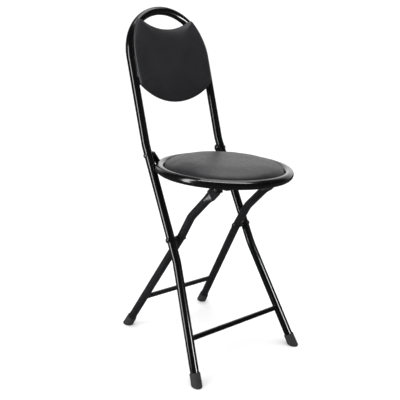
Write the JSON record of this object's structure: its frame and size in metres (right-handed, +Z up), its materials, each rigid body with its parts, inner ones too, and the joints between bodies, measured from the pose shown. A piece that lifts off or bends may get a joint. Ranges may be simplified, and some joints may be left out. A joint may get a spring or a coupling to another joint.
{
  "type": "folding chair",
  "caption": "Folding chair: round padded seat in a tube hoop, shield-shaped padded back under a tube arch, crossed tube legs with rubber feet; seat and legs fold.",
  "frame": {"origin": "on the floor, under the middle of the open chair's bounding box", "axes": "+Z up; the chair faces -Y; +X is the chair's left side"},
  "size_m": [0.3412, 0.4372, 0.7873],
  "materials": {
    "gloss_black_paint": "gloss",
    "satin_black_paint": "satin",
    "cover": "satin",
    "board_black": "matte",
    "foot_rubber": "matte",
    "rivet_steel": "satin",
    "black_rivets": "gloss",
    "black_screws": "satin"
  },
  "bodies": {
    "back_frame": {"frame_tube": "gloss_black_paint", "front_crossbar": "gloss_black_paint", "back_board": "board_black", "back_pad": "cover", "back_tabs": "gloss_black_paint", "back_screws": "black_screws", "pivot_rivets": "black_rivets", "pivot_spacer_left": "gloss_black_paint", "pivot_spacer_right": "gloss_black_paint", "hinge_rivets": "black_rivets", "hinge_washers": "rivet_steel", "front_foot_left": "foot_rubber", "front_foot_right": "foot_rubber"},
    "rear_legs": {"rear_leg_left": "satin_black_paint", "rear_leg_right": "satin_black_paint", "rear_crossbar": "satin_black_paint", "rear_foot_left": "foot_rubber", "rear_foot_right": "foot_rubber", "leg_pins": "black_rivets"},
    "seat": {"seat_ring": "gloss_black_paint", "seat_board": "board_black", "seat_cushion": "cover", "seat_rail_left": "gloss_black_paint", "seat_rail_right": "gloss_black_paint", "seat_hook_left": "gloss_black_paint", "seat_hook_right": "gloss_black_paint", "hinge_ear_left": "gloss_black_paint", "hinge_ear_right": "gloss_black_paint", "seat_screws": "black_screws"}
  },
  "joints": [
    {"name": "seat_fold", "type": "hinge", "parent": "back_frame", "child": "seat", "pos_m": [0, 0.07866, 0.453], "axis": [-1, 0, 0], "range_deg": [0, 90]},
    {"name": "rear_leg_fold", "type": "hinge", "parent": "back_frame", "child": "rear_legs", "pos_m": [0, -0.0275, 0.2784], "axis": [-1, 0, 0], "range_deg": [0, 54]}
  ],
  "couplings": [
    {"joint": "rear_leg_fold", "follows": "seat_fold", "ratio": 0.6}
  ]
}
